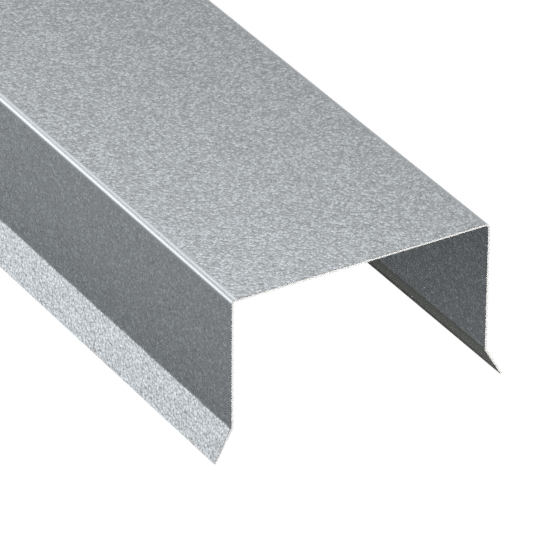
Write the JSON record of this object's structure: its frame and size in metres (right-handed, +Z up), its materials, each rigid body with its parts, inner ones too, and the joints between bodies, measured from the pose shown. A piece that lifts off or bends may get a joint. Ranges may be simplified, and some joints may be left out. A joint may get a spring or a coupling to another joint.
{
  "type": "metal coping",
  "caption": "Length of folded galvanised steel coping: flat top, straight legs and kicked-out drip edges, an open channel that caps the top of a wall.",
  "frame": {"origin": "centre of the length and of the width, level with the two drip lips that it stands on", "axes": "+X across the wall, +Y along the length, +Z up, out of the top face"},
  "size_m": [0.115, 3.048, 0.062],
  "materials": {
    "galvanised_sheet": "hot-dip galvanised sheet steel with a fine spangle, dull silver grey, bright bare steel on the sheared edges"
  },
  "bodies": {
    "root": {"coping": "galvanised_sheet"}
  },
  "joints": []
}
